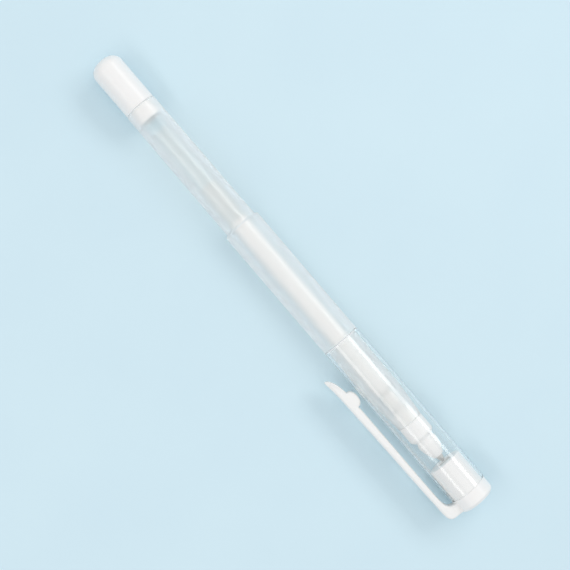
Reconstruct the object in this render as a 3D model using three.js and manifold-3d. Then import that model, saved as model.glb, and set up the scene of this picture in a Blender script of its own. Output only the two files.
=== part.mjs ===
// Capped fabric marking pen, built as separate pieces in one group.
//
// Units are millimetres, +Z is up. The pen lies along X. The origin is the centre of the cap's flat
// end face, +X points out of that face, and the pen's tail is at x = -LENGTH.
// The pocket clip stands off the cap towards -Y.
//
// Places along the pen are stations: distances from the tail tip towards +X. "Front" is +X, where
// the writing tip is, and "rear" is the tail. Names ending in _R are radii about the pen's axis.
// Small offsets written in the profiles are edge breaks and the runs of short tapers.

import * as THREE from 'three';
import { mergeVertices } from 'three/addons/utils/BufferGeometryUtils.js';
import Module from 'manifold-3d';

const wasm = await Module();
wasm.setup();

// ---------------------------------------------------------------- shared values

const LENGTH = 144; // tail tip to cap end face, cap on
const FIT = 0.05; // radial clearance between parts that nest closely
const NOSE_CLEARANCE = 0.07; // round the holder and tip inside the nose cone
const TIP_CLEARANCE = 0.04; // round the tip housing inside its holder

const SEGMENTS = 32; // facets round most pieces, in one phase so that nested walls stay clear
const TIP_SEGMENTS = 20; // facets round the tip housing and ball

// ---------------------------------------------------------------- geometry helpers

const xAt = (station) => station - LENGTH;

// Merges shared vertices, drops the slivers that a lathe leaves on its axis, and faces the
// surface outwards.
function tidy(source) {
  for (const name of Object.keys(source.attributes)) {
    if (name !== 'position') source.deleteAttribute(name);
  }
  const geometry = mergeVertices(source, 1e-5);
  const { position } = geometry.attributes;
  const index = geometry.index.array;
  const triangles = [];
  for (let i = 0; i < index.length; i += 3) {
    const triangle = [index[i], index[i + 1], index[i + 2]];
    if (new Set(triangle).size === 3) triangles.push(triangle);
  }

  // A negative sum of signed volumes means that the faces point inwards.
  let volume = 0;
  for (const triangle of triangles) {
    const [first, second, third] = triangle.map((corner) =>
      new THREE.Vector3().fromBufferAttribute(position, corner));
    volume += first.dot(second.cross(third));
  }
  if (volume < 0) {
    for (const triangle of triangles) [triangle[1], triangle[2]] = [triangle[2], triangle[1]];
  }
  geometry.setIndex(triangles.flat());
  return geometry;
}

// A body of revolution about X. Profile points are [station, radius].
function turned(profile, segments = SEGMENTS) {
  const points = profile.map(([station, radius]) => new THREE.Vector2(radius, xAt(station)));
  const geometry = new THREE.LatheGeometry(points, segments);
  geometry.rotateZ(-Math.PI / 2); // the lathe's own axis, Y, becomes X
  return tidy(geometry);
}

// A hollow body of revolution: the profile is closed back to its first point.
const ring = (profile, segments) => turned([...profile, profile[0]], segments);

function toSolid(source) {
  const geometry = tidy(source);
  const mesh = new wasm.Mesh({
    numProp: 3,
    vertProperties: new Float32Array(geometry.attributes.position.array),
    triVerts: new Uint32Array(geometry.index.array),
  });
  return new wasm.Manifold(mesh);
}

function fromSolid(solid) {
  const mesh = solid.getMesh();
  const geometry = new THREE.BufferGeometry();
  geometry.setAttribute('position', new THREE.BufferAttribute(mesh.vertProperties, 3));
  geometry.setIndex(Array.from(mesh.triVerts));
  return tidy(geometry);
}

// A solid block. Each argument is a [low, high] pair, the first one in stations.
function block(stations, yRange, zRange) {
  const ranges = [stations.map(xAt), yRange, zRange];
  const geometry = new THREE.BoxGeometry(...ranges.map(([low, high]) => high - low));
  geometry.translate(...ranges.map(([low, high]) => (low + high) / 2));
  return toSolid(geometry);
}

// ---------------------------------------------------------------- materials

function material({ color, roughness, metalness = 0, opacity = 1 }) {
  const transparent = opacity < 1;
  return new THREE.MeshStandardMaterial({ color, roughness, metalness, opacity, transparent });
}

const materials = {
  frosted: material({ color: 0xdfe6ea, roughness: 0.45, opacity: 0.55 }),
  clear: material({ color: 0xe9f1f5, roughness: 0.08, opacity: 0.3 }),
  white: material({ color: 0xf4f4f0, roughness: 0.35 }),
  refill: material({ color: 0xe6edf0, roughness: 0.25, opacity: 0.45 }),
  ink: material({ color: 0xf8f8f6, roughness: 0.3 }),
  gel: material({ color: 0xf0eee2, roughness: 0.15, opacity: 0.6 }),
  metal: material({ color: 0xb9b7b0, roughness: 0.28, metalness: 1 }),
  ball: material({ color: 0x8f9094, roughness: 0.15, metalness: 1 }),
  seal: material({ color: 0xe7e5df, roughness: 0.8 }),
};

// ---------------------------------------------------------------- barrel
// One translucent moulding with a slimmer rear length that the cap can be posted on.

const BARREL_REAR = 15;
const BARREL_REAR_R = 4.3; // at the rear rim
const BARREL_STEP = 53.3;
const BARREL_STEP_R = 4.42; // just behind the step
const BARREL_R = 5.1; // the full-width length
const BARREL_SHOULDER = 91.4;
const BARREL_NECK_R = 4.34; // under the cap
const BARREL_BEAD = 96.2; // middle of the raised ring inside the cap
const BARREL_BEAD_R = 4.46;
const BARREL_TAPER = 109;
const BARREL_FRONT = 117.9;
const BARREL_FRONT_R = 3.5;
const BARREL_BORE_R = 3.3;
const BARREL_FRONT_BORE_R = 3;

// Outside from the rear rim to the front, then back through the bore.
function barrel() {
  return ring([
    [BARREL_REAR, BARREL_REAR_R - 0.3],
    [BARREL_REAR + 0.35, BARREL_REAR_R],
    [BARREL_STEP, BARREL_STEP_R],
    [BARREL_STEP + 0.5, BARREL_R - 0.12],
    [BARREL_STEP + 0.85, BARREL_R],
    [BARREL_SHOULDER - 0.25, BARREL_R],
    [BARREL_SHOULDER, BARREL_R - 0.2],
    [BARREL_SHOULDER, BARREL_NECK_R],
    [BARREL_BEAD - 0.7, BARREL_NECK_R],
    [BARREL_BEAD - 0.2, BARREL_BEAD_R],
    [BARREL_BEAD + 0.2, BARREL_BEAD_R],
    [BARREL_BEAD + 0.7, BARREL_NECK_R],
    [BARREL_TAPER, BARREL_NECK_R - 0.08],
    [BARREL_FRONT - 0.2, BARREL_FRONT_R],
    [BARREL_FRONT, BARREL_FRONT_R - 0.15],
    [BARREL_FRONT, BARREL_FRONT_BORE_R],
    [BARREL_TAPER - 0.6, BARREL_FRONT_BORE_R],
    [BARREL_TAPER - 1.6, BARREL_BORE_R],
    [BARREL_REAR + 0.25, BARREL_BORE_R],
    [BARREL_REAR, BARREL_BORE_R + 0.2],
  ]);
}

// ---------------------------------------------------------------- tail plug
// A rounded stopper in the barrel's rear, hollow from its front end.

const PLUG_R = 4.2;
const PLUG_SHOULDER = BARREL_REAR - 0.15;
const PLUG_SPIGOT_END = 19;
const PLUG_SPIGOT_R = BARREL_BORE_R - FIT;
const PLUG_TIP_FLAT_R = 1;
const PLUG_ROUNDING = 2.8; // how far the rounding runs along the axis
const PLUG_ROUNDING_STEPS = 7;
const PLUG_HOLLOW_R = 2.2;
const PLUG_HOLLOW_START = 3.2; // the hollow's closed end
const VENT_HALF_WIDTH = 0.45;
const VENT_DEPTH = 0.45; // below the spigot's surface

function tailPlug() {
  const rounding = [];
  for (let i = 0; i <= PLUG_ROUNDING_STEPS; i++) {
    const angle = (i / PLUG_ROUNDING_STEPS) * (Math.PI / 2);
    rounding.push([
      PLUG_ROUNDING * (1 - Math.cos(angle)),
      PLUG_TIP_FLAT_R + (PLUG_R - PLUG_TIP_FLAT_R) * Math.sin(angle),
    ]);
  }
  const body = turned([
    [0, 0],
    ...rounding,
    [PLUG_SHOULDER - 0.2, PLUG_R],
    [PLUG_SHOULDER, PLUG_R - 0.2],
    [PLUG_SHOULDER, PLUG_SPIGOT_R],
    [PLUG_SPIGOT_END - 0.5, PLUG_SPIGOT_R],
    [PLUG_SPIGOT_END, PLUG_SPIGOT_R - 0.4],
    [PLUG_SPIGOT_END, PLUG_HOLLOW_R],
    [PLUG_HOLLOW_START + 1.4, PLUG_HOLLOW_R - 0.1],
    [PLUG_HOLLOW_START, PLUG_HOLLOW_R - 1.2],
    [PLUG_HOLLOW_START, 0],
  ]);

  // A vent groove along the -Z side of the spigot lets air in behind the ink as it is used.
  // A slot through the shoulder's edge opens it to the outside.
  const ventStart = PLUG_SHOULDER - 0.45;
  const ventFloor = VENT_DEPTH - PLUG_SPIGOT_R;
  const ventWidth = [-VENT_HALF_WIDTH, VENT_HALF_WIDTH];
  const groove = block(
    [ventStart, PLUG_SPIGOT_END + 1], ventWidth, [-PLUG_SPIGOT_R - 0.35, ventFloor]);
  const slot = block([ventStart, PLUG_SHOULDER + 0.2], ventWidth, [-PLUG_R - 1, ventFloor]);
  return fromSolid(toSolid(body).subtract(groove).subtract(slot));
}

// ---------------------------------------------------------------- refill
// A tube of white ink, with a grease follower behind the ink and the tip's holder in front.

const TUBE_START = 22.8;
const TUBE_END = 112.4;
const TUBE_R = 2.8;
const TUBE_BORE_R = 1.8;
const INK_START = 52;
const INK_END = 108.3;
const INK_R = TUBE_BORE_R - FIT;
const FOLLOWER_START = 40.6;
const FOLLOWER_END = INK_START - 0.1;

const HOLDER_START = 108.5;
const HOLDER_PLUG_R = TUBE_BORE_R - FIT; // the length inside the tube
const HOLDER_FLANGE = TUBE_END + 0.1;
const HOLDER_FLANGE_R = 2.75;
const HOLDER_NECK = 113.4;
const HOLDER_R = 1.65;
const HOLDER_END = 124.4;
const HOLDER_CHANNEL_R = 0.85;

const TIP_START = 118.8; // rear end of the metal tip, inside the holder
const TIP_R = 1.15;

function refillTube() {
  return ring([
    [TUBE_START, TUBE_R - 0.12],
    [TUBE_START + 0.15, TUBE_R],
    [TUBE_END - 0.15, TUBE_R],
    [TUBE_END, TUBE_R - 0.12],
    [TUBE_END, TUBE_BORE_R],
    [TUBE_START, TUBE_BORE_R],
  ]);
}

// The grease plug keeps the ink from drying and moves up behind it.
function inkFollower() {
  return turned([
    [FOLLOWER_START + 0.7, 0],
    [FOLLOWER_START + 0.45, INK_R * 0.5],
    [FOLLOWER_START, INK_R],
    [FOLLOWER_END - 0.35, INK_R],
    [FOLLOWER_END, INK_R * 0.6],
    [FOLLOWER_END, 0],
  ]);
}

// The ink's rear end is hollowed to sit over the follower's front end.
function inkColumn() {
  return turned([
    [INK_START, 0],
    [INK_START, INK_R * 0.6],
    [INK_START - 0.3, INK_R],
    [INK_END, INK_R],
    [INK_END, 0],
  ]);
}

function tipHolder() {
  const socketStart = TIP_START - 0.1;
  return ring([
    [HOLDER_START, HOLDER_CHANNEL_R + 0.25],
    [HOLDER_START + 0.4, HOLDER_PLUG_R],
    [HOLDER_FLANGE, HOLDER_PLUG_R],
    [HOLDER_FLANGE, HOLDER_FLANGE_R],
    [HOLDER_FLANGE + 0.35, HOLDER_FLANGE_R],
    [HOLDER_NECK, HOLDER_R + 0.35],
    [HOLDER_NECK, HOLDER_R],
    [HOLDER_END - 0.3, HOLDER_R],
    [HOLDER_END, HOLDER_R - 0.2],
    [HOLDER_END, TIP_R + TIP_CLEARANCE],
    [socketStart, TIP_R + TIP_CLEARANCE],
    [socketStart, HOLDER_CHANNEL_R],
    [HOLDER_START, HOLDER_CHANNEL_R],
  ]);
}

// ---------------------------------------------------------------- nose cone
// Sits in the barrel's front and surrounds the refill's holder and tip.

const NOSE_START = 113.7;
const NOSE_SPIGOT_R = BARREL_FRONT_BORE_R - FIT;
const NOSE_COLLAR = BARREL_FRONT + 0.15;
const NOSE_COLLAR_R = 3.4;
const NOSE_GROOVE = 123.2;
const NOSE_GROOVE_R = 2.42;
const NOSE_LOBE_R = 2.7; // the swelling in front of the groove
const NOSE_END = 129;
const NOSE_END_R = 1.5;

function noseCone() {
  return ring([
    [NOSE_START, HOLDER_R + 0.5],
    [NOSE_START + 1.5, NOSE_SPIGOT_R],
    [NOSE_COLLAR, NOSE_SPIGOT_R],
    [NOSE_COLLAR, NOSE_COLLAR_R - 0.15],
    [NOSE_COLLAR + 0.2, NOSE_COLLAR_R],
    [NOSE_GROOVE - 0.9, NOSE_COLLAR_R],
    [NOSE_GROOVE - 0.35, NOSE_COLLAR_R - 0.25],
    [NOSE_GROOVE, NOSE_COLLAR_R - 0.75],
    [NOSE_GROOVE + 0.1, NOSE_GROOVE_R],
    [NOSE_GROOVE + 0.7, NOSE_GROOVE_R],
    [NOSE_GROOVE + 1.1, NOSE_LOBE_R - 0.05],
    [NOSE_GROOVE + 1.8, NOSE_LOBE_R],
    [NOSE_GROOVE + 2.8, NOSE_LOBE_R - 0.12],
    [NOSE_GROOVE + 4.2, NOSE_LOBE_R - 0.55],
    [NOSE_END - 0.2, NOSE_END_R],
    [NOSE_END, NOSE_END_R - 0.15],
    [NOSE_END, TIP_R + NOSE_CLEARANCE],
    [HOLDER_END + 1, TIP_R + NOSE_CLEARANCE],
    [HOLDER_END + 0.3, HOLDER_R + NOSE_CLEARANCE],
    [NOSE_START, HOLDER_R + NOSE_CLEARANCE],
  ]);
}

// ---------------------------------------------------------------- writing tip
// A turned metal cone with a rolling ball, and a fine wire spring inside.

const TIP_CONE = 128.7;
const TIP_CONE_R = 0.66; // near the cone's front end
const TIP_END = 130.62;
const TIP_END_R = 0.53;
const TIP_LIP_R = 0.49; // the opening that retains the ball
const TIP_BORE_R = 0.62;
const TIP_CHANNEL_R = 0.3; // the narrow passage behind the ball
const BALL_R = 0.5;
const BALL_CENTRE = 130.42;
const BALL_RINGS = 12;

function tipHousing() {
  return ring([
    [TIP_START, TIP_R - 0.15],
    [TIP_START + 0.2, TIP_R],
    [TIP_CONE, TIP_R],
    [TIP_END - 0.3, TIP_CONE_R],
    [TIP_END, TIP_END_R],
    [TIP_END, TIP_LIP_R],
    [BALL_CENTRE, BALL_R + FIT],
    [BALL_CENTRE - 0.46, BALL_R + FIT],
    [BALL_CENTRE - 0.62, TIP_CHANNEL_R],
    [TIP_CONE + 0.4, TIP_CHANNEL_R],
    [TIP_CONE + 0.1, TIP_BORE_R],
    [TIP_START, TIP_BORE_R],
  ], TIP_SEGMENTS);
}

function writingBall() {
  const geometry = new THREE.SphereGeometry(BALL_R, TIP_SEGMENTS, BALL_RINGS);
  geometry.rotateZ(-Math.PI / 2);
  geometry.translate(xAt(BALL_CENTRE), 0, 0);
  return tidy(geometry);
}

const SPRING_START = 119.2;
const SPRING_COIL_END = 127.6;
const SPRING_END = BALL_CENTRE - BALL_R - 0.08; // just behind the ball
const SPRING_COIL_R = 0.4;
const SPRING_TURNS = 9;
const SPRING_COIL_SHARE = 0.84; // part of the curve's parameter given to the coil
const SPRING_STEPS = 108;
const WIRE_R = 0.08;
const WIRE_SIDES = 5;

// A coil, then a half turn in to the axis and a straight run towards the ball.
class SpringPath extends THREE.Curve {
  getPoint(share, target = new THREE.Vector3()) {
    let station;
    let radius = SPRING_COIL_R;
    let turns;
    if (share <= SPRING_COIL_SHARE) {
      const along = share / SPRING_COIL_SHARE;
      station = SPRING_START + (SPRING_COIL_END - SPRING_START) * along;
      turns = along * SPRING_TURNS;
    } else {
      const along = (share - SPRING_COIL_SHARE) / (1 - SPRING_COIL_SHARE);
      const inward = Math.min(1, along * 2); // reaches the axis halfway along
      station = SPRING_COIL_END + (SPRING_END - SPRING_COIL_END) * along;
      radius *= 0.5 + 0.5 * Math.cos(Math.PI * inward);
      turns = SPRING_TURNS + inward * 0.5;
    }
    const angle = turns * 2 * Math.PI;
    return target.set(xAt(station), radius * Math.cos(angle), radius * Math.sin(angle));
  }
}

function ballSpring() {
  const corners = [];
  for (let i = 0; i < WIRE_SIDES; i++) {
    const angle = (i / WIRE_SIDES) * 2 * Math.PI;
    corners.push(new THREE.Vector2(WIRE_R * Math.cos(angle), WIRE_R * Math.sin(angle)));
  }
  const section = new THREE.Shape(corners);
  section.closePath();
  return tidy(new THREE.ExtrudeGeometry(section, {
    steps: SPRING_STEPS,
    bevelEnabled: false,
    extrudePath: new SpringPath(),
  }));
}

// ---------------------------------------------------------------- cap
// A clear tube, a white end plug set into it, and a soft pad in the plug's recess.

const CAP_RIM = BARREL_SHOULDER + 0.3;
const CAP_R = 5.15;
const CAP_BORE_R = 4.52;
const CAP_TUBE_END = 140.1;
const SEAL_R = 1.95;
const SEAL_START = 131.35;
const SEAL_END = 134.6;
const END_PLUG_START = 131.05;
const END_PLUG_SPIGOT_R = 4.46;
const END_PLUG_HEAD = CAP_TUBE_END + 0.3;
const END_PLUG_HEAD_R = 5.02;
const END_PLUG_CHAMFER = 0.75;
const RECESS_R = SEAL_R + FIT;
const RECESS_END = SEAL_END + 0.15;

// The clip's foot and the end plug's boss below it share their width and length.
const CLIP_FOOT_START = 140.5;
const CLIP_FOOT_END = 143.4;
const CLIP_ROOT_WIDTH = 4.4;
const BOSS_INNER = 3.6; // distances from the axis, towards -Y
const BOSS_OUTER = 5.62;

function capTube() {
  return ring([
    [CAP_RIM, CAP_R - 0.2],
    [CAP_RIM + 0.2, CAP_R],
    [CAP_TUBE_END - 0.15, CAP_R],
    [CAP_TUBE_END, CAP_R - 0.15],
    [CAP_TUBE_END, CAP_BORE_R],
    [CAP_RIM + 0.25, CAP_BORE_R],
    [CAP_RIM, CAP_BORE_R + 0.15],
  ]);
}

function capEndPlug() {
  const body = turned([
    [RECESS_END, 0],
    [RECESS_END, RECESS_R],
    [END_PLUG_START, RECESS_R],
    [END_PLUG_START, END_PLUG_SPIGOT_R - 0.3],
    [END_PLUG_START + 0.3, END_PLUG_SPIGOT_R],
    [END_PLUG_HEAD, END_PLUG_SPIGOT_R],
    [END_PLUG_HEAD, END_PLUG_HEAD_R],
    [LENGTH - END_PLUG_CHAMFER, END_PLUG_HEAD_R],
    [LENGTH - END_PLUG_CHAMFER * 0.45, END_PLUG_HEAD_R - END_PLUG_CHAMFER * 0.4],
    [LENGTH, END_PLUG_HEAD_R - END_PLUG_CHAMFER],
    [LENGTH, 0],
  ]);
  const boss = block(
    [CLIP_FOOT_START, CLIP_FOOT_END],
    [-BOSS_OUTER, -BOSS_INNER],
    [-CLIP_ROOT_WIDTH / 2, CLIP_ROOT_WIDTH / 2],
  );
  return fromSolid(toSolid(body).add(boss));
}

function tipSealPad() {
  return turned([
    [SEAL_START, 0],
    [SEAL_START, SEAL_R - 0.25],
    [SEAL_START + 0.25, SEAL_R],
    [SEAL_END, SEAL_R],
    [SEAL_END, 0],
  ]);
}

// ---------------------------------------------------------------- clip
// A side outline given a width that narrows towards the free tip. Distances named _Y are from
// the pen's axis, towards -Y.

const CLIP_FOOT_Y = BOSS_OUTER + 0.3;
const CLIP_TIP = 96.8;
const CLIP_TIP_Y = 10;
const CLIP_INNER_Y = 7.2; // the flat inner face
const CLIP_BUMP = 104.6;
const CLIP_BUMP_HALF = 2.3; // half the bump's length
const CLIP_BUMP_BASE_Y = CLIP_INNER_Y + 0.15;
const CLIP_BUMP_Y = 5.75; // closest the bump comes to the axis
const CLIP_BUMP_POWER = 0.8; // below 1 makes the bump fuller than a half sine
const CLIP_BUMP_STEPS = 10;
const CLIP_TIP_WIDTH = 3.4; // before the end is narrowed
const CLIP_END_SHARE = 0.55; // share of that width left at the very tip
const CLIP_END_RUN = 3.5; // distance over which the share would grow by 1

// [station, distance from the axis]: up the foot, along the outer face, and round the tip.
const CLIP_OUTER = [
  [CLIP_FOOT_END, CLIP_FOOT_Y], [CLIP_FOOT_END, 6.9],
  [CLIP_FOOT_END - 0.2, 7.6], [CLIP_FOOT_END - 0.7, 8.25],
  [CLIP_FOOT_END - 1.5, 8.68], [CLIP_FOOT_END - 2.6, 8.8],
  [138.3, 8.83], [135.4, 8.92], [131.0, 9.05], [123.8, 9.12],
  [116.5, 9.26], [109.2, 9.44], [103.4, 9.52], [99.6, 9.78],
  [CLIP_TIP + 0.7, 9.98], [CLIP_TIP + 0.15, CLIP_TIP_Y],
  [CLIP_TIP, 9.86], [CLIP_TIP + 0.2, 9.35], [CLIP_TIP + 0.9, 8.72],
  [CLIP_TIP + 2.0, 8.08], [CLIP_TIP + 3.6, 7.58],
  [CLIP_BUMP - CLIP_BUMP_HALF - 0.25, CLIP_INNER_Y + 0.2],
];

// The same columns, from the bump along the inner face back to the foot.
const CLIP_INNER = [
  [CLIP_BUMP + CLIP_BUMP_HALF + 0.35, CLIP_INNER_Y + 0.1],
  [110.0, CLIP_INNER_Y], [136.9, CLIP_INNER_Y], [138.3, CLIP_INNER_Y - 0.1],
  [139.3, 6.85], [140.1, 6.45], [CLIP_FOOT_START, CLIP_FOOT_Y],
];

function clipWidth(x) {
  const fromTip = x - xAt(CLIP_TIP);
  const along = THREE.MathUtils.clamp(fromTip / (CLIP_FOOT_START - CLIP_TIP), 0, 1);
  const endShare = Math.min(1, CLIP_END_SHARE + fromTip / CLIP_END_RUN);
  return THREE.MathUtils.lerp(CLIP_TIP_WIDTH, CLIP_ROOT_WIDTH, along) * endShare;
}

function clipArm() {
  const bump = [];
  for (let i = 0; i <= CLIP_BUMP_STEPS; i++) {
    const angle = (i / CLIP_BUMP_STEPS) * Math.PI;
    const height = (CLIP_BUMP_BASE_Y - CLIP_BUMP_Y) * Math.sin(angle) ** CLIP_BUMP_POWER;
    bump.push([CLIP_BUMP - CLIP_BUMP_HALF * Math.cos(angle), CLIP_BUMP_BASE_Y - height]);
  }
  const outline = [...CLIP_OUTER, ...bump, ...CLIP_INNER];
  const shape = new THREE.Shape(outline.map(([station, y]) => new THREE.Vector2(xAt(station), -y)));

  // Extruded to unit depth, then centred on z = 0 and scaled to the local width.
  const geometry = new THREE.ExtrudeGeometry(shape, { depth: 1, bevelEnabled: false, steps: 1 });
  const { position } = geometry.attributes;
  for (let i = 0; i < position.count; i++) {
    position.setZ(i, (position.getZ(i) - 0.5) * clipWidth(position.getX(i)));
  }
  return tidy(geometry);
}

// ---------------------------------------------------------------- assembly

const pen = new THREE.Group();

function addPiece(name, geometry, look) {
  const mesh = new THREE.Mesh(geometry, look);
  mesh.name = name;
  pen.add(mesh);
}

addPiece('barrel', barrel(), materials.frosted);
addPiece('tail_plug', tailPlug(), materials.white);
addPiece('nose_cone', noseCone(), materials.white);
addPiece('refill_tube', refillTube(), materials.refill);
addPiece('ink_follower', inkFollower(), materials.gel);
addPiece('ink_column', inkColumn(), materials.ink);
addPiece('tip_holder', tipHolder(), materials.white);
addPiece('tip_housing', tipHousing(), materials.metal);
addPiece('writing_ball', writingBall(), materials.ball);
addPiece('ball_spring', ballSpring(), materials.metal);
addPiece('cap_tube', capTube(), materials.clear);
addPiece('cap_end_plug', capEndPlug(), materials.white);
addPiece('tip_seal_pad', tipSealPad(), materials.seal);
addPiece('clip_arm', clipArm(), materials.white);

export default pen;
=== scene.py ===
"""Fabric marking pen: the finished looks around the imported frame.

Everything is in metres in the frame's own axes: the pen lies along X with its cap's end face at x = 0
and its tail towards -X, the clip stands off towards -Y and +Z is up. The pieces' own sizes are in
millimetres, and their stations are distances from the tail tip.
"""

import math

import bpy
import bmesh
from mathutils import Matrix, Vector


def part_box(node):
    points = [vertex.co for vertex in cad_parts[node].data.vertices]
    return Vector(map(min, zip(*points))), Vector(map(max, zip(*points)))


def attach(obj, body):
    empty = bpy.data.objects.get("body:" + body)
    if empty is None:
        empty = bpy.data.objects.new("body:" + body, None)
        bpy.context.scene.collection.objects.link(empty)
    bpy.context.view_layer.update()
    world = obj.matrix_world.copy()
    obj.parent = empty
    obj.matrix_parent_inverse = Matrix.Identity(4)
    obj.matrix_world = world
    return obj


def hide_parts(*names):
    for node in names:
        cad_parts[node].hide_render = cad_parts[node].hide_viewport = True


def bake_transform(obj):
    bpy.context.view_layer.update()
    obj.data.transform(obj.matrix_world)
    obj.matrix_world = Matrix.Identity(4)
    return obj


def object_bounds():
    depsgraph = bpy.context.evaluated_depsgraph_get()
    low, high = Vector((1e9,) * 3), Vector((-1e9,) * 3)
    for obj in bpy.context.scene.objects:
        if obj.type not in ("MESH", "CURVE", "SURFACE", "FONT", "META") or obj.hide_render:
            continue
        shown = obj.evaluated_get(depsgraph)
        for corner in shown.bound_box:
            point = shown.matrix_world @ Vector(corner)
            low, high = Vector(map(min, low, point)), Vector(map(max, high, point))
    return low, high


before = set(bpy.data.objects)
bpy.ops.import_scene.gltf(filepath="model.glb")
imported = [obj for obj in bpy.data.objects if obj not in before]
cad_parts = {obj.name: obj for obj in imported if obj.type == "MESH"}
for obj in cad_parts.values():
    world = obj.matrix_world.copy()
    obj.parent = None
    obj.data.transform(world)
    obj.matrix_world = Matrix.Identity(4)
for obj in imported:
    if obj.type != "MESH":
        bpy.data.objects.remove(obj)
cad_lo, cad_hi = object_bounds()

scene = bpy.context.scene
MM = 0.001
TAU = 2 * math.pi
TAIL_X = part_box("tail_plug")[0].x
SHARP_ANGLE = math.radians(34)


def x_at(station):
    return TAIL_X + station * MM


def clamp(value, low=0.0):
    return min(1.0, max(low, value))


# ------------------------------------------------------------------ mesh building


def rounded(corners, closed, steps=6):
    """Rounds a polyline of (station, radius, fillet) into (station, radius) points.

    steps is the number of segments in a quarter turn. A corner without a fillet stays sharp.
    """
    out = []
    for i, corner in enumerate(corners):
        station, radius = corner[:2]
        fillet = corner[2] if len(corner) > 2 else 0.0
        if fillet <= 0 or (not closed and i in (0, len(corners) - 1)):
            out.append((station, radius))
            continue
        before, after = corners[i - 1], corners[(i + 1) % len(corners)]
        back = Vector((before[0] - station, before[1] - radius))
        ahead = Vector((after[0] - station, after[1] - radius))
        back_length, ahead_length = back.length, ahead.length
        back, ahead = back / back_length, ahead / ahead_length
        angle = back.angle(ahead)
        if angle > math.pi - 0.02:  # nearly straight
            out.append((station, radius))
            continue
        # neighbouring fillets never meet on a short edge
        trim = min(fillet / math.tan(angle / 2), 0.46 * back_length, 0.46 * ahead_length)
        fitted = trim * math.tan(angle / 2)
        here = Vector((station, radius))
        centre = here + (back + ahead).normalized() * (fitted / math.sin(angle / 2))
        start = here + back * trim - centre
        end = here + ahead * trim - centre
        sweep = start.angle_signed(end)
        count = max(2, round(steps * abs(sweep) / (math.pi / 2)))
        for k in range(count + 1):
            turn = -sweep * k / count
            cos, sin = math.cos(turn), math.sin(turn)
            point = Vector((start.x * cos - start.y * sin, start.x * sin + start.y * cos)) + centre
            out.append((point.x, max(point.y, 0.0)))
    return out


def smoothed(points, rounds=2):
    """Chaikin corner cutting of a closed polyline, which keeps its straight runs."""
    for _ in range(rounds):
        out = []
        for i, (x, y) in enumerate(points):
            next_x, next_y = points[(i + 1) % len(points)]
            out.append((0.75 * x + 0.25 * next_x, 0.75 * y + 0.25 * next_y))
            out.append((0.25 * x + 0.75 * next_x, 0.25 * y + 0.75 * next_y))
        points = out
    return points


def bridge(bm, first, second):
    """Joins two rings of vertices with faces. A ring of one vertex is a pole."""
    count = max(len(first), len(second))
    for k in range(count):
        n = (k + 1) % count
        if len(first) == 1:
            bm.faces.new((first[0], second[k], second[n]))
        elif len(second) == 1:
            bm.faces.new((first[k], second[0], first[n]))
        else:
            bm.faces.new((first[k], second[k], second[n], first[n]))


def skin(bm, rings):
    """Joins a chain of equal rings into a tube with open ends."""
    for first, second in zip(rings, rings[1:]):
        for k in range(len(first)):
            n = (k + 1) % len(first)
            bm.faces.new((first[k], first[n], second[n], second[k]))


def shade_smooth(mesh):
    for polygon in mesh.polygons:
        polygon.use_smooth = True
    mesh.set_sharp_from_angle(angle=SHARP_ANGLE)


def add_object(name, bm):
    bmesh.ops.remove_doubles(bm, verts=bm.verts, dist=1e-8)
    bmesh.ops.recalc_face_normals(bm, faces=bm.faces)
    mesh = bpy.data.meshes.new(name)
    bm.to_mesh(mesh)
    bm.free()
    shade_smooth(mesh)
    obj = bpy.data.objects.new(name, mesh)
    scene.collection.objects.link(obj)
    return obj


def even_normals(obj):
    weighted = obj.modifiers.new("even_normals", "WEIGHTED_NORMAL")
    weighted.keep_sharp = True
    weighted.weight = 60


def lathe(name, profile, closed=False, segments=128):
    """A surface of revolution about the pen's axis. profile is [(station, radius)]."""
    bm = bmesh.new()
    rings = []
    for station, radius in profile:
        if radius < 1e-6:
            rings.append([bm.verts.new((x_at(station), 0, 0))])
            continue
        ring = []
        for k in range(segments):
            a = TAU * (k + 0.5) / segments
            y, z = radius * MM * math.cos(a), radius * MM * math.sin(a)
            ring.append(bm.verts.new((x_at(station), y, z)))
        rings.append(ring)
    pairs = list(zip(rings, rings[1:]))
    if closed:
        pairs.append((rings[-1], rings[0]))
    for first, second in pairs:
        bridge(bm, first, second)
    obj = add_object(name, bm)
    even_normals(obj)
    return obj


def turned(name, corners, closed=False, segments=128, steps=6):
    """A lathed piece from (station, radius, fillet) corners. A closed profile makes a hollow piece."""
    return lathe(name, rounded(corners, closed, steps), closed, segments)


def cut(obj, name, low, high):
    """Cuts a box out of a piece. low and high are (station, y, z)."""
    bm = bmesh.new()
    bmesh.ops.create_cube(bm, size=1.0)
    for v in bm.verts:
        station, y, z = (low[i] if v.co[i] < 0 else high[i] for i in range(3))
        v.co = (x_at(station), y * MM, z * MM)
    tool = add_object(name, bm)
    obj.modifiers.clear()
    boolean = obj.modifiers.new("cut", "BOOLEAN")
    boolean.operation = "DIFFERENCE"
    boolean.solver = "EXACT"
    boolean.object = tool
    bpy.context.view_layer.update()
    evaluated = obj.evaluated_get(bpy.context.evaluated_depsgraph_get())
    result = bpy.data.meshes.new_from_object(evaluated)
    obj.modifiers.clear()
    uncut = obj.data
    obj.data = result
    bpy.data.meshes.remove(uncut)
    bpy.data.objects.remove(tool)
    shade_smooth(result)
    even_normals(obj)


# ------------------------------------------------------------------ node helpers

MIDTONES = (0.3, 0.7)  # where most of a noise's values lie


def shade(colour, factor=1.0):
    return tuple(c * factor for c in colour) + (1,)


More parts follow.
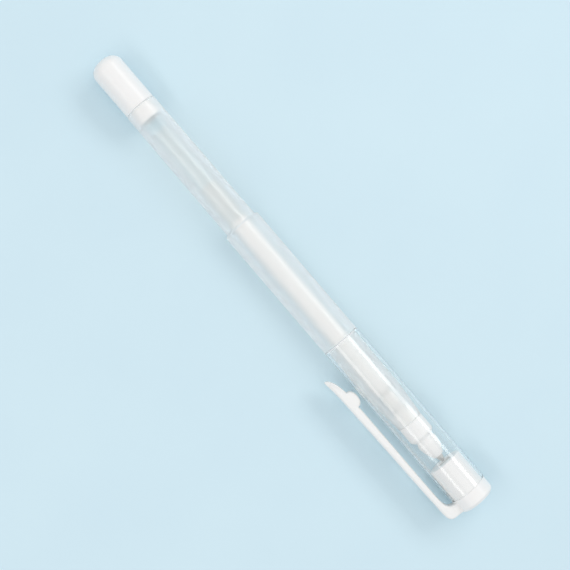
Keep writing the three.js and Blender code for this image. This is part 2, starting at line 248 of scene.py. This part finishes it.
class Nodes:
    """A small wrapper that keeps node building readable."""

    def __init__(self, name):
        self.material = bpy.data.materials.new(name)
        self.material.use_nodes = True
        self.tree = self.material.node_tree
        self.tree.nodes.clear()
        self.out = self.node("ShaderNodeOutputMaterial")

    def node(self, kind, **props):
        node = self.tree.nodes.new(kind)
        for key, value in props.items():
            setattr(node, key, value)
        return node

    def put(self, value, socket):
        """Links a socket, or sets a plain value."""
        if isinstance(value, bpy.types.NodeSocket):
            self.tree.links.new(value, socket)
        else:
            socket.default_value = value

    def position(self):
        """The x, y and z sockets of the piece's own coordinates, in metres."""
        coords = self.node("ShaderNodeTexCoord")
        parts = self.node("ShaderNodeSeparateXYZ")
        self.put(coords.outputs["Object"], parts.inputs[0])
        return parts.outputs

    def noise(self, scale, detail=2.0, rough=0.5, stretch=(1, 1, 1)):
        noise = self.node("ShaderNodeTexNoise")
        noise.inputs["Scale"].default_value = scale
        noise.inputs["Detail"].default_value = detail
        noise.inputs["Roughness"].default_value = rough
        coords = self.node("ShaderNodeTexCoord")
        mapping = self.node("ShaderNodeMapping")
        mapping.inputs["Scale"].default_value = stretch
        self.put(coords.outputs["Object"], mapping.inputs["Vector"])
        self.put(mapping.outputs["Vector"], noise.inputs["Vector"])
        return noise.outputs["Fac"]

    def ranged(self, value, to=(0.0, 1.0), over=(0.0, 1.0), ease="LINEAR"):
        """Maps the span `over` of a value to the span `to`."""
        node = self.node("ShaderNodeMapRange", interpolation_type=ease)
        self.put(value, node.inputs["Value"])
        node.inputs["From Min"].default_value, node.inputs["From Max"].default_value = over
        node.inputs["To Min"].default_value, node.inputs["To Max"].default_value = to
        return node.outputs["Result"]

    def math(self, operation, a, b=0.0):
        node = self.node("ShaderNodeMath", operation=operation)
        self.put(a, node.inputs[0])
        self.put(b, node.inputs[1])
        return node.outputs[0]

    def axis_radius(self):
        """Distance from the pen's axis, in metres."""
        _, y, z = self.position()
        y_squared = self.math("MULTIPLY", y, y)
        z_squared = self.math("MULTIPLY", z, z)
        return self.math("SQRT", self.math("ADD", y_squared, z_squared))

    def facing(self, blend):
        weight = self.node("ShaderNodeLayerWeight")
        weight.inputs["Blend"].default_value = blend
        return weight.outputs["Facing"]

    def blend(self, factor, a, b):
        node = self.node("ShaderNodeMix", data_type="RGBA")
        self.put(factor, node.inputs[0])
        self.put(a, node.inputs[6])
        self.put(b, node.inputs[7])
        return node.outputs[2]

    def bump(self, height, distance, strength, normal=None):
        node = self.node("ShaderNodeBump")
        node.inputs["Strength"].default_value = strength
        node.inputs["Distance"].default_value = distance
        self.put(height, node.inputs["Height"])
        if normal is not None:
            self.put(normal, node.inputs["Normal"])
        return node.outputs["Normal"]

    def principled(self, **values):
        node = self.node("ShaderNodeBsdfPrincipled")
        for key, value in values.items():
            self.put(value, node.inputs[key.replace("_", " ")])
        return node.outputs[0]

    def shader_mix(self, factor, a, b):
        node = self.node("ShaderNodeMixShader")
        self.put(factor, node.inputs[0])
        self.put(a, node.inputs[1])
        self.put(b, node.inputs[2])
        return node.outputs[0]

    def lit_through(self, shader, tint):
        """Shadow and diffuse rays pass as through tinted film, so that what lies inside is lit."""
        path = self.node("ShaderNodeLightPath")
        film = self.node("ShaderNodeBsdfTransparent")
        film.inputs["Color"].default_value = tint
        ray = self.math("MAXIMUM", path.outputs["Is Shadow Ray"], path.outputs["Is Diffuse Ray"])
        return self.shader_mix(ray, shader, film.outputs[0])

    def done(self, shader):
        self.put(shader, self.out.inputs["Surface"])
        return self.material


# ------------------------------------------------------------------ materials


def white_plastic(name, colour, rough=0.3):
    """Moulded white: faint cloudiness, a fine tool texture, light that sinks in a little."""
    mat = Nodes(name)
    cloud = mat.noise(scale=110, detail=1, rough=0.4)
    cloud = mat.ranged(cloud, over=MIDTONES)
    base = mat.blend(cloud, a=shade(colour, 0.989), b=shade(colour))
    fine = mat.noise(scale=5200, rough=0.6)
    flow = mat.noise(scale=500, stretch=(0.15, 1, 1))
    normal = mat.bump(fine, distance=0.000012, strength=0.05)
    normal = mat.bump(flow, distance=0.00002, strength=0.025, normal=normal)
    patches = mat.noise(scale=240, detail=1, rough=0.4)
    return mat.done(mat.principled(
        Base_Color=base,
        Roughness=mat.ranged(patches, to=(rough - 0.015, rough + 0.025), over=MIDTONES),
        IOR=1.5,
        Normal=normal,
        Subsurface_Weight=0.1,
        Subsurface_Radius=(1.0, 0.94, 0.88),
        Subsurface_Scale=0.001,
    ))


def frosted_barrel():
    """Natural frosted moulding: the matt outside blurs what lies behind it, the bore is smooth, and the
    wall turns milky where it is seen edge on."""
    mat = Nodes("frosted_barrel")
    flow = mat.noise(scale=260, detail=3, stretch=(0.05, 1, 1))
    grain = mat.noise(scale=1500)
    outside = mat.ranged(mat.axis_radius(), over=(0.00332, 0.00345))
    matt = mat.math("ADD", flow, mat.math("MULTIPLY", grain, 0.5))
    matt = mat.ranged(matt, to=(0.34, 0.44), over=(0.5, 1.0))
    clear = mat.principled(
        Base_Color=(0.984, 0.988, 0.985, 1),
        Roughness=mat.math("ADD", 0.03, mat.math("MULTIPLY", outside, matt)),
        IOR=1.46,
        Transmission_Weight=1.0,
    )
    streaks = mat.ranged(flow, over=MIDTONES)
    milky = mat.principled(
        Base_Color=mat.blend(streaks, a=(0.83, 0.87, 0.89, 1), b=(0.88, 0.915, 0.93, 1)),
        Roughness=0.42,
        IOR=1.46,
        Subsurface_Weight=0.5,
        Subsurface_Radius=(1.0, 1.0, 1.0),
        Subsurface_Scale=0.0012,
    )
    edge_on = mat.ranged(mat.facing(blend=0.5), to=(0.05, 0.66), over=(0.06, 0.4), ease="SMOOTHSTEP")
    share = mat.math("ADD", edge_on, mat.ranged(flow, to=(-0.02, 0.02), over=MIDTONES))
    share = mat.math("MULTIPLY", share, mat.ranged(outside, to=(0.2, 1.0)))
    surface = mat.shader_mix(share, clear, milky)
    return mat.done(mat.lit_through(surface, tint=(0.974, 0.972, 0.966, 1)))


def clear_plastic():
    """Polished clear moulding with faint flow lines and handling haze."""
    mat = Nodes("clear_plastic")
    flow = mat.noise(scale=220, stretch=(0.04, 1, 1))
    scuff = mat.noise(scale=1800, detail=4, rough=0.7, stretch=(0.2, 1, 1))
    scuff = mat.ranged(scuff, to=(0.0, 0.05), over=(0.5, 0.75))
    rough = mat.math("ADD", scuff, mat.ranged(flow, to=(0.0, 0.012)))
    clear = mat.principled(
        Base_Color=(0.985, 0.993, 0.995, 1), Roughness=rough, IOR=1.5, Transmission_Weight=1.0
    )
    haze = mat.principled(Base_Color=(0.93, 0.95, 0.96, 1), Roughness=0.25, IOR=1.5)
    # the rim is left matt by the mould's parting face; its span is along x
    rim = mat.ranged(mat.position()[0], to=(0.6, 0.0), over=(-0.05245, -0.05205))
    edge_on = mat.ranged(mat.facing(blend=0.25), to=(0.015, 0.16))
    surface = mat.shader_mix(mat.math("MAXIMUM", edge_on, rim), clear, haze)
    return mat.done(mat.lit_through(surface, tint=(0.982, 0.982, 0.98, 1)))


def refill_plastic():
    """Natural extruded tube: slightly cloudy, drawn lines along its length."""
    mat = Nodes("refill_plastic")
    lines = mat.noise(scale=900, stretch=(0.01, 1, 1))
    outside = mat.ranged(mat.axis_radius(), over=(0.00188, 0.002))
    clear = mat.principled(
        Base_Color=(0.99, 0.987, 0.98, 1),
        Roughness=mat.ranged(lines, to=(0.03, 0.1), over=MIDTONES),
        IOR=1.49,
        Transmission_Weight=1.0,
    )
    milky = mat.principled(Base_Color=(0.925, 0.92, 0.905, 1), Roughness=0.3, IOR=1.49)
    cloudy = mat.ranged(lines, to=(0.04, 0.09), over=MIDTONES)
    share = mat.math("MULTIPLY", cloudy, mat.ranged(outside, to=(0.3, 1.0)))
    surface = mat.shader_mix(share, clear, milky)
    return mat.done(mat.lit_through(surface, tint=(0.976, 0.974, 0.97, 1)))


def white_ink():
    """Dense white ink: near-pure white, with slight streaks where it has settled against the tube."""
    mat = Nodes("white_ink")
    streak = mat.noise(scale=520, detail=4, rough=0.6, stretch=(0.1, 1, 1))
    blot = mat.noise(scale=90)
    streak = mat.ranged(streak, over=(0.35, 0.65))
    base = mat.blend(streak, a=(0.93, 0.925, 0.912, 1), b=(0.958, 0.952, 0.94, 1))
    blot = mat.ranged(blot, to=(0, 0.35), over=(0.4, 0.7))
    base = mat.blend(blot, a=base, b=(0.94, 0.936, 0.925, 1))
    return mat.done(mat.principled(
        Base_Color=base,
        Roughness=0.4,
        IOR=1.1,
        Subsurface_Weight=0.85,
        Subsurface_Radius=(1, 1, 1),
        Subsurface_Scale=0.0022,
    ))


def follower_gel():
    """Swirled, half clear grease."""
    mat = Nodes("follower_gel")
    swirl = mat.noise(scale=700, detail=3, rough=0.6)
    clear = mat.principled(
        Base_Color=(0.928, 0.945, 0.945, 1), Roughness=0.12, IOR=1.46, Transmission_Weight=1.0
    )
    body = mat.principled(Base_Color=(0.885, 0.908, 0.912, 1), Roughness=0.3)
    surface = mat.shader_mix(mat.ranged(swirl, to=(0.25, 0.5), over=MIDTONES), clear, body)
    return mat.done(mat.lit_through(surface, tint=(0.915, 0.93, 0.932, 1)))


def metal(name, colour, rough, ringed=False):
    """Plain metal with a fine grain, or turned metal with fine rings round the axis."""
    mat = Nodes(name)
    if ringed:
        grain = mat.noise(scale=9000, rough=0.6, stretch=(1, 0.02, 0.02))
    else:
        grain = mat.noise(scale=4000)
    base = mat.blend(mat.ranged(grain, over=MIDTONES), a=shade(colour, 0.86), b=shade(colour))
    return mat.done(mat.principled(
        Base_Color=base,
        Metallic=1.0,
        Roughness=mat.ranged(grain, to=(rough * 0.8, rough * 1.35), over=MIDTONES),
        Normal=mat.bump(grain, distance=0.000006, strength=0.5),
    ))


def seal_rubber():
    mat = Nodes("seal_rubber")
    grain = mat.noise(scale=3000, detail=3, rough=0.6)
    return mat.done(mat.principled(
        Base_Color=mat.blend(grain, a=(0.8, 0.79, 0.76, 1), b=(0.88, 0.87, 0.84, 1)),
        Roughness=0.75,
        Normal=mat.bump(grain, distance=0.00002, strength=0.5),
    ))


MATERIALS = {
    "white_plastic": white_plastic("white_plastic", colour=(0.925, 0.922, 0.912)),
    "clip_white": white_plastic("clip_white", colour=(0.905, 0.91, 0.9), rough=0.27),
    "nose_white": white_plastic("nose_white", colour=(0.915, 0.915, 0.905), rough=0.32),
    "holder_white": white_plastic("holder_white", colour=(0.945, 0.95, 0.952)),
    "frosted_barrel": frosted_barrel(),
    "clear_plastic": clear_plastic(),
    "refill_plastic": refill_plastic(),
    "white_ink": white_ink(),
    "follower_gel": follower_gel(),
    "tip_metal": metal("tip_metal", colour=(0.8, 0.79, 0.765), rough=0.3, ringed=True),
    "ball_metal": metal("ball_metal", colour=(0.55, 0.55, 0.57), rough=0.14),
    "spring_wire": metal("spring_wire", colour=(0.6, 0.6, 0.6), rough=0.25),
    "seal_rubber": seal_rubber(),
}


def place(obj, node, body, material):
    """Gives a piece its material and its CAD body, and hides the CAD node it stands for."""
    obj.data.materials.append(MATERIALS[material])
    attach(obj, body)
    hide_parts(node)


# Profiles below are tables of (station, radius, fillet).

# ------------------------------------------------------------------ barrel

BARREL_START, BARREL_END = 15.0, 117.9
BARREL_BORE = 3.3
COLLAR_RADIUS = 5.1  # the thick part behind the cap's mouth
COLLAR_END = 91.4
NECK_RADIUS = 4.34  # where the cap slides on
RIDGE_RADIUS = 4.46  # the low ring on the neck

BARREL = [
    (BARREL_START, 3.42, 0.1), (BARREL_START, 4.3, 0.3),
    (34.0, 4.36, 0.0), (53.3, 4.42, 0.22),
    (53.85, COLLAR_RADIUS, 0.42), (72.0, COLLAR_RADIUS, 0.0), (COLLAR_END, COLLAR_RADIUS, 0.2),
    (COLLAR_END, NECK_RADIUS, 0.12), (95.4, NECK_RADIUS, 0.4),
    (96.0, RIDGE_RADIUS, 0.25), (96.4, RIDGE_RADIUS, 0.25),
    (97.0, NECK_RADIUS, 0.4), (109.0, 4.26, 2.0),
    (BARREL_END, 3.46, 0.16), (BARREL_END, 3.0, 0.1), (108.4, 3.0, 0.3),
    (107.4, BARREL_BORE, 0.3), (60.0, BARREL_BORE, 0.0), (15.25, BARREL_BORE, 0.0),
]
place(turned("barrel_shell", BARREL, closed=True), "barrel", "pen_body", "frosted_barrel")

# ------------------------------------------------------------------ tail plug

PLUG_RADIUS = 4.2
SPIGOT_RADIUS = 3.32
SHOULDER = 14.85  # station where the spigot starts
SPIGOT_END = 19.0
DOME_LENGTH = 2.8
DOME_START_RADIUS = 1.0
DOME_STEPS = 14

PLUG_SIDE_AND_HOLLOW = [
    (DOME_LENGTH, PLUG_RADIUS), (SHOULDER, PLUG_RADIUS, 0.18),
    (SHOULDER, SPIGOT_RADIUS, 0.05), (18.9, SPIGOT_RADIUS, 0.12),
    (SPIGOT_END, 3.1, 0.05), (SPIGOT_END, 2.2, 0.15),
    (4.6, 2.1, 0.4), (3.2, 1.0, 0.3), (3.2, 0.0),
]
# The small dimple at the tail tip, (station, radius), and the dome that rises from it.
plug_profile = [(0.14, 0.0), (0.14, 0.42), (0.08, 0.52), (0.0, 0.66), (0.0, 0.95)]
for i in range(1, DOME_STEPS + 1):
    a = i / DOME_STEPS * math.pi / 2
    rise = (PLUG_RADIUS - DOME_START_RADIUS) * math.sin(a)
    plug_profile.append((DOME_LENGTH * (1 - math.cos(a)), DOME_START_RADIUS + rise))
plug_profile += rounded(PLUG_SIDE_AND_HOLLOW, closed=False)[1:]
plug = lathe("tail_stopper", plug_profile)

# The vent: a notch in the shoulder and a groove along the spigot, on the underside.
VENT_START = 14.42
VENT_HALF_WIDTH = 0.42
VENT_TOP_Z = -2.85
vent_cuts = [("vent_notch", 15.1, -5.4), ("vent_groove", 19.6, -3.7)]  # name, end station, bottom z
for name, end, bottom in vent_cuts:
    cut(plug, name, (VENT_START, -VENT_HALF_WIDTH, bottom), (end, VENT_HALF_WIDTH, VENT_TOP_Z))
place(plug, "tail_plug", "rear_stopper", "white_plastic")

# ------------------------------------------------------------------ nose cone

NOSE_START, NOSE_END = 113.7, 129.0
NOSE_BORE, NOSE_MOUTH = 1.72, 1.22  # radii

NOSE = [
    (NOSE_START, 2.05, 0.1), (115.2, 2.95, 0.4), (118.05, 2.95, 0.05), (118.05, 3.4, 0.16),
    (122.4, 3.4, 0.6), (123.2, 2.75, 0.25), (123.3, 2.42, 0.15), (123.95, 2.42, 0.2),
    (124.3, 2.66, 0.25), (125.1, 2.7, 0.8), (127.3, 2.2, 1.2), (NOSE_END, 1.42, 0.15),
    (NOSE_END, NOSE_MOUTH, 0.04), (125.4, NOSE_MOUTH, 0.1),
    (124.7, NOSE_BORE, 0.1), (NOSE_START, NOSE_BORE, 0.08),
]
nose = turned("nose_cone_shell", NOSE, closed=True)
place(nose, "nose_cone", "pen_body", "nose_white")

# ------------------------------------------------------------------ refill

TUBE_START, TUBE_MIDDLE, TUBE_END = 22.8, 70.0, 112.4
TUBE_RADIUS, TUBE_BORE = 2.8, 1.8
INK_RADIUS = TUBE_BORE + 0.015  # the fills bite slightly into the wall
GEL_RADIUS = TUBE_BORE + 0.01
INK_END = 108.3

TUBE = [
    (TUBE_START, TUBE_BORE, 0.08), (TUBE_START, TUBE_RADIUS, 0.14), (TUBE_MIDDLE, TUBE_RADIUS, 0.0),
    (TUBE_END, TUBE_RADIUS, 0.4), (TUBE_END, TUBE_BORE, 0.08), (TUBE_MIDDLE, TUBE_BORE, 0.0),
]
tube = turned("refill_tube_wall", TUBE, closed=True, segments=96)
place(tube, "refill_tube", "pen_body", "refill_plastic")

INK = [
    (52.25, 0.0), (52.15, 0.7, 0.3), (51.8, 1.6, 0.2), (51.66, INK_RADIUS, 0.05),
    (INK_END, INK_RADIUS, 0.05), (INK_END, 0.0),
]
place(turned("ink_fill", INK, segments=96), "ink_column", "pen_body", "white_ink")

FOLLOWER = [
    (41.5, 0.0), (41.3, 0.8, 0.5), (40.6, GEL_RADIUS, 0.1),
    (51.45, GEL_RADIUS, 0.1), (51.95, 0.9, 0.4), (52.1, 0.0),
]
follower = turned("follower_grease", FOLLOWER, segments=96)
place(follower, "ink_follower", "pen_body", "follower_gel")

HOLDER = [
    (108.5, 0.85, 0.05), (108.5, 1.2, 0.1), (109.0, 1.75, 0.2), (112.5, 1.75, 0.05),
    (112.5, 2.75, 0.12), (112.95, 2.75, 0.4), (113.4, 1.85, 0.2), (113.5, 1.65, 0.1),
    (124.4, 1.65, 0.25), (124.4, 1.19, 0.05), (118.7, 1.19, 0.05), (118.7, 0.85, 0.05),
]
holder = turned("tip_holder_body", HOLDER, closed=True, segments=96)
place(holder, "tip_holder", "pen_body", "holder_white")

# ------------------------------------------------------------------ writing tip

TIP_RADIUS = 1.15
BALL_STATION, BALL_RADIUS = 130.42, 0.5

TIP = [
    (118.8, 0.62, 0.03), (118.8, TIP_RADIUS, 0.15), (126.4, TIP_RADIUS, 0.0),
    (128.7, TIP_RADIUS, 0.35), (130.28, 0.68, 0.12), (130.5, 0.6, 0.05),
    (130.62, 0.53, 0.02), (130.62, 0.49, 0.01), (BALL_STATION, 0.55, 0.03),
    (129.96, 0.55, 0.03), (129.8, 0.3, 0.02), (129.1, 0.3, 0.02), (128.8, 0.62, 0.03),
]
tip = turned("metal_tip", TIP, closed=True, segments=72, steps=4)
place(tip, "tip_housing", "pen_body", "tip_metal")

bm = bmesh.new()
bmesh.ops.create_icosphere(bm, subdivisions=4, radius=BALL_RADIUS * MM)
bmesh.ops.translate(bm, verts=bm.verts, vec=(x_at(BALL_STATION), 0, 0))
place(add_object("rolling_ball", bm), "writing_ball", "ball", "ball_metal")

COIL_START, COIL_END = 119.2, 127.6
COIL_RADIUS = 0.4
COIL_TURNS = 9
COIL_SHARE = 0.84  # of the wire's steps; the rest is the straight end
WIRE_RADIUS = 0.08
WIRE_STEPS, WIRE_SIDES = 420, 10


def spring_point(t):
    """The wire's centre: coils, then a straight end on the axis that reaches the ball."""
    if t <= COIL_SHARE:
        part = t / COIL_SHARE
        a = part * COIL_TURNS * TAU
        radius = COIL_RADIUS * MM
        station = COIL_START + (COIL_END - COIL_START) * part
    else:
        part = (t - COIL_SHARE) / (1 - COIL_SHARE)
        closing = min(1.0, part * 2)
        a = (COIL_TURNS + closing * 0.5) * TAU
        radius = COIL_RADIUS * MM * max(0.0, 0.5 + 0.5 * math.cos(math.pi * closing))
        wire_end = BALL_STATION - BALL_RADIUS - WIRE_RADIUS
        station = COIL_END + (wire_end - COIL_END) * part
    return Vector((x_at(station), radius * math.cos(a), radius * math.sin(a)))


def spring_mesh():
    bm = bmesh.new()
    centres = [spring_point(i / WIRE_STEPS) for i in range(WIRE_STEPS + 1)]
    tangents = [
        (centres[min(i + 1, WIRE_STEPS)] - centres[max(i - 1, 0)]).normalized()
        for i in range(WIRE_STEPS + 1)
    ]
    side = tangents[0].orthogonal().normalized()
    rings = []
    for centre, tangent in zip(centres, tangents):
        side = (side - tangent * side.dot(tangent)).normalized()
        across = tangent.cross(side)
        ring = []
        for k in range(WIRE_SIDES):
            a = TAU * k / WIRE_SIDES
            spoke = math.cos(a) * side + math.sin(a) * across
            ring.append(bm.verts.new(centre + WIRE_RADIUS * MM * spoke))
        rings.append(ring)
    skin(bm, rings)
    bm.faces.new(list(reversed(rings[0])))
    bm.faces.new(rings[-1])
    return add_object("ball_spring_wire", bm)


place(spring_mesh(), "ball_spring", "ball_carriage", "spring_wire")

# ------------------------------------------------------------------ cap

CAP_START, CAP_MIDDLE, CAP_END = 91.5, 116.0, 140.1
CAP_RADIUS, CAP_BORE = 5.15, 4.52

CAP = [
    (CAP_START, 4.56, 0.06), (CAP_START, CAP_RADIUS, 0.16), (CAP_MIDDLE, CAP_RADIUS, 0.0),
    (CAP_END, CAP_RADIUS, 0.15), (CAP_END, CAP_BORE, 0.06), (CAP_MIDDLE, CAP_BORE, 0.0),
    (91.9, CAP_BORE, 0.2),
]
place(turned("cap_clear_tube", CAP, closed=True), "cap_tube", "cap", "clear_plastic")

END_PLUG = [
    (134.85, 0.0), (134.85, 2.0, 0.1), (131.05, 2.0, 0.12), (131.05, 4.46, 0.3),
    (140.14, 4.46, 0.03), (140.14, 5.02, 0.1), (143.25, 5.02, 0.35), (144.0, 4.27, 0.25),
    (144.0, 0.0),
]
place(turned("cap_end_block", END_PLUG), "cap_end_plug", "cap", "white_plastic")

SEAL_PAD = [(131.35, 0.0), (131.35, 1.95, 0.25), (134.6, 1.95, 0.1), (134.6, 0.0)]
place(turned("tip_seal_disc", SEAL_PAD, segments=96), "tip_seal_pad", "cap", "seal_rubber")

# ------------------------------------------------------------------ clip

# Side outline, (station, distance from the axis): the outer face from the foot to the free tip,
# the bead under the tip, then the inner face back to the foot.
CLIP_OUTER = [
    (143.42, 3.8), (143.4, 5.6), (143.4, 6.9), (143.25, 7.6), (142.75, 8.25), (141.9, 8.66),
    (140.7, 8.82), (138.3, 8.84), (135.4, 8.92), (131.0, 9.04), (123.8, 9.12), (116.5, 9.26),
    (109.2, 9.44), (103.4, 9.53), (100.4, 9.7), (98.4, 9.88), (97.35, 9.97), (96.98, 9.98),
    (96.8, 9.88), (96.82, 9.66), (97.05, 9.25), (97.7, 8.66), (98.8, 8.06), (100.3, 7.62),
    (101.6, 7.44), (102.15, 7.34),
]
CLIP_INNER = [
    (107.2, 7.28), (108.2, 7.22), (116.5, 7.2), (128.0, 7.2), (136.0, 7.2), (138.0, 7.12),
    (139.2, 6.88), (140.0, 6.42), (140.42, 5.75), (140.5, 5.2), (140.5, 3.8),
]
BEAD_STATION, BEAD_BASE = 104.6, 7.34
BEAD_HALF_LENGTH, BEAD_DEPTH = 2.3, 1.6
BEAD_STEPS = 16
CLIP_TIP, CLIP_FOOT = 96.8, 140.5
TIP_WIDTH, WIDENING = 3.4, 1.0  # width before the tip is rounded, and its growth to the foot
FOOT_FLARE = 1.0
EDGE_INSET, EDGE_REACH = 0.5, 0.8  # rounding of the long edges: into the outline, across the width
EDGE_STEPS = 8
CROWN_DROP = 0.14  # how far the outer face falls towards its side edges
UNCROWNED = 6  # outer points at the end that run back under the tip

bead = []
for i in range(BEAD_STEPS + 1):
    a = i / BEAD_STEPS * math.pi
    height = BEAD_BASE - BEAD_DEPTH * math.sin(a) ** 0.82
    bead.append((BEAD_STATION - BEAD_HALF_LENGTH * math.cos(a), height))
outline = smoothed(CLIP_OUTER + bead + CLIP_INNER)
CROWN_COUNT = 4 * (len(CLIP_OUTER) - UNCROWNED)  # smoothing makes four points of each


def inward_normals():
    area = 0.0
    for i, (x, y) in enumerate(outline):
        next_x, next_y = outline[(i + 1) % len(outline)]
        area += x * next_y - next_x * y
    turn = 1 if area > 0 else -1
    normals = []
    for i in range(len(outline)):
        before, after = Vector(outline[i - 1]), Vector(outline[(i + 1) % len(outline)])
        along = (after - before).normalized()
        normals.append(Vector((-along.y, along.x)) * turn)
    return normals


def clip_half_width(station, height):
    width = TIP_WIDTH + WIDENING * clamp((station - CLIP_TIP) / (CLIP_FOOT - CLIP_TIP))
    end = clamp((station - CLIP_TIP) / 3.4)
    tip_round = 0.5 + 0.5 * math.sqrt(max(0.0, 1 - (1 - end) ** 2))
    foot = clamp((5.8 - height) / 1.3) if station > 139.0 else 0.0
    return (width * tip_round + FOOT_FLARE * foot**2) / 2


def clip_crown(i, station, height):
    """Share of the crown, which fades out at the foot and down the sides."""
    rise = clamp((height - 7.8) / 0.9) * clamp((142.7 - station) / 1.6)
    return rise * rise * (3 - 2 * rise) if i < CROWN_COUNT else 0.0


def clip_mesh():
    bm = bmesh.new()
    inward = inward_normals()
    half_widths = [clip_half_width(*point) for point in outline]
    crowns = [clip_crown(i, *point) for i, point in enumerate(outline)]
    # the tip is too thin for the full rounding
    thins = [clamp((station - CLIP_TIP) / 4.0, low=0.18) for station, _ in outline]

    def ring(inset, depth, share):
        """The outline at a share of the half width, measured to `depth` short of the side face."""
        out = []
        for i, thin in enumerate(thins):
            point = Vector(outline[i]) + inward[i] * inset * thin
            z = share * (half_widths[i] - depth * thin)
            drop = CROWN_DROP * (z / half_widths[i]) ** 2 * crowns[i] * thin
            out.append(bm.verts.new((x_at(point.x), -(point.y - drop) * MM, z * MM)))
        return out

    edge = []
    for k in range(EDGE_STEPS + 1):
        a = k / EDGE_STEPS * math.pi / 2
        edge.append((EDGE_INSET * (1 - math.sin(a)), EDGE_REACH * (1 - math.cos(a))))
    low, high = [[ring(inset, depth, side) for inset, depth in edge] for side in (-1, 1)]
    middle = [ring(0.0, EDGE_REACH, share) for share in (-0.6, -0.2, 0.2, 0.6)]
    rings = low + middle + list(reversed(high))
    skin(bm, rings)
    bm.faces.new(rings[0])
    bm.faces.new(list(reversed(rings[-1])))
    return add_object("pocket_clip", bm)


clip = clip_mesh()
clip.data.materials.append(MATERIALS["clip_white"])
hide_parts("clip_arm")
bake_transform(clip)

# ------------------------------------------------------------------ floor, in metres

STUDIO_X = -0.072  # the middle of the pen
FLOOR_SEGMENTS = 96
FLAT_RADIUS = 0.5
SWEEP_RADIUS, SWEEP_HEIGHT, SWEEP_STEPS = 1.0, 0.45, 24
floor_z = min(cad_lo.z, min(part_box(node)[0].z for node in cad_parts)) - 0.00002


def floor_material():
    """Pale blue, painted lighter up the wall towards near white to make up for the shade the wall gets.
    """
    mat = Nodes("pale_floor")
    tone = mat.ranged(mat.noise(scale=35), over=MIDTONES)
    base = mat.blend(tone, a=(0.638, 0.815, 0.9, 1), b=(0.652, 0.83, 0.91, 1))
    # painted light: the colour turns near white with height, standing in for the light the rising wall
    # lacks
    painted_wall_light = mat.ranged(mat.position()[2], over=(floor_z - 0.01, floor_z + 0.2), ease="SMOOTHSTEP")
    base = mat.blend(painted_wall_light, a=base, b=(0.95, 0.965, 0.975, 1))
    return mat.done(mat.principled(Base_Color=base, Roughness=0.6, Specular_IOR_Level=0.3))


def build_floor():
    """A round floor that sweeps up into a wall on every side."""
    bm = bmesh.new()
    profile = [(FLAT_RADIUS / 2, 0.0), (FLAT_RADIUS, 0.0)]  # (radius, height)
    for k in range(1, SWEEP_STEPS + 1):
        a = math.pi / 2 * k / SWEEP_STEPS
        height = SWEEP_HEIGHT * (1 - math.cos(a))
        profile.append((FLAT_RADIUS + SWEEP_RADIUS * math.sin(a), height))
    rings = [[bm.verts.new((STUDIO_X, 0, floor_z))]]
    for radius, height in profile:
        ring = []
        for k in range(FLOOR_SEGMENTS):
            a = TAU * k / FLOOR_SEGMENTS
            x, y = STUDIO_X + radius * math.cos(a), radius * math.sin(a)
            ring.append(bm.verts.new((x, y, floor_z + height)))
        rings.append(ring)
    for first, second in zip(rings, rings[1:]):
        bridge(bm, first, second)
    bmesh.ops.recalc_face_normals(bm, faces=bm.faces)
    mesh = bpy.data.meshes.new("floor")
    bm.to_mesh(mesh)
    bm.free()
    for polygon in mesh.polygons:
        polygon.use_smooth = True
    floor = bpy.data.objects.new("floor", mesh)
    scene.collection.objects.link(floor)
    mesh.materials.append(floor_material())


build_floor()

# ------------------------------------------------------------------ light and camera, in metres

world = bpy.data.worlds.new("soft_studio")
scene.world = world
world.use_nodes = True
background = world.node_tree.nodes["Background"]
background.inputs["Color"].default_value = (0.988, 0.99, 1.0, 1)
background.inputs["Strength"].default_value = 0.72


def area_light(name, at, size, power, colour=(1, 1, 1)):
    """A rectangular light aimed at the pen."""
    data = bpy.data.lights.new(name, "AREA")
    data.shape = "RECTANGLE"
    data.size, data.size_y = size
    data.energy = power
    data.color = colour
    obj = bpy.data.objects.new(name, data)
    scene.collection.objects.link(obj)
    obj.location = at
    obj.rotation_mode = "QUATERNION"
    aim = Vector((STUDIO_X, -0.002, 0)) - Vector(at)
    obj.rotation_quaternion = aim.to_track_quat("-Z", "Y")


area_light("key_soft", at=(-0.1, 0.5, 0.4), size=(0.5, 0.2), power=1.0, colour=(1.0, 0.985, 0.965))
area_light("top_soft", at=(0.05, 0.05, 0.75), size=(0.5, 0.5), power=0.3)
area_light("low_fill", at=(-0.12, -0.37, 0.5), size=(0.6, 0.16), power=0.55, colour=(1.0, 0.99, 0.97))

# The camera looks straight down, turned so that the pen lies across the picture at a slant.
FRAME_WIDTH = 0.142  # width seen at the pen's axis
lens = bpy.data.cameras.new("camera")
lens.type = "PERSP"
lens.sensor_width = 36.0
lens.lens = 85.0
lens.clip_start, lens.clip_end = 0.01, 20.0
camera = bpy.data.objects.new("camera", lens)
scene.collection.objects.link(camera)
right = Vector((0.6506, 0.7594, 0)).normalized()
back = Vector((0, 0, 1))
spot = Vector((STUDIO_X, -0.0015, 0)) + back * (FRAME_WIDTH * lens.lens / lens.sensor_width)
turn = Matrix((right, back.cross(right), back)).transposed()
camera.matrix_world = Matrix.Translation(spot) @ turn.to_4x4()
scene.camera = camera

scene.view_settings.view_transform = "Standard"
scene.view_settings.look = "None"
scene.cycles.transparent_max_bounces = 32
scene.cycles.max_bounces = 20
scene.cycles.transmission_bounces = 20
